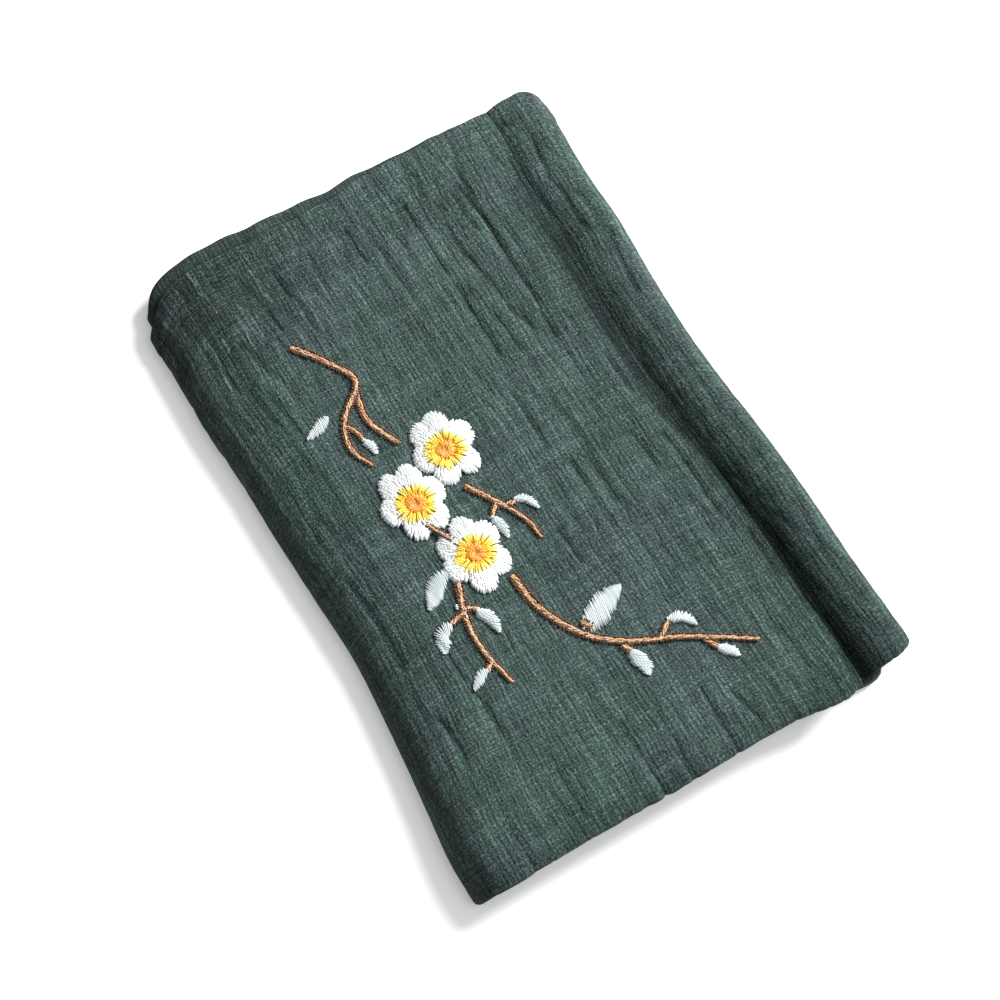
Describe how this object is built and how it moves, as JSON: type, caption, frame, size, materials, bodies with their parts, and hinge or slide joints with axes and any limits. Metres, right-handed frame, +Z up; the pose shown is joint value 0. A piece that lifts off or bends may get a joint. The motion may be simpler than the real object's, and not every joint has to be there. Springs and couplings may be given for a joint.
{
  "type": "tea towel",
  "caption": "Folded tea towel of crinkled cotton gauze with hemmed ends and an embroidered blossom spray, for drying and wiping or laid under a pot.",
  "frame": {"origin": "middle of the pack's box on its flat underside", "axes": "+X across the pack from its round left fold to the raised strip, +Y along it from the doubled near end to the hemmed far end, +Z up"},
  "size_m": [0.0994, 0.1518, 0.0088],
  "materials": {
    "gauze": "matt dark slate-green cotton gauze with light and dark yarns and lengthwise crinkles",
    "white_thread": "white embroidery cotton with a slight sheen",
    "gold_thread": "golden yellow to deep orange embroidery cotton with a slight sheen",
    "brown_thread": "orange-brown embroidery cotton with dark flecks"
  },
  "bodies": {
    "root": {"towel": "gauze"}
  },
  "joints": []
}
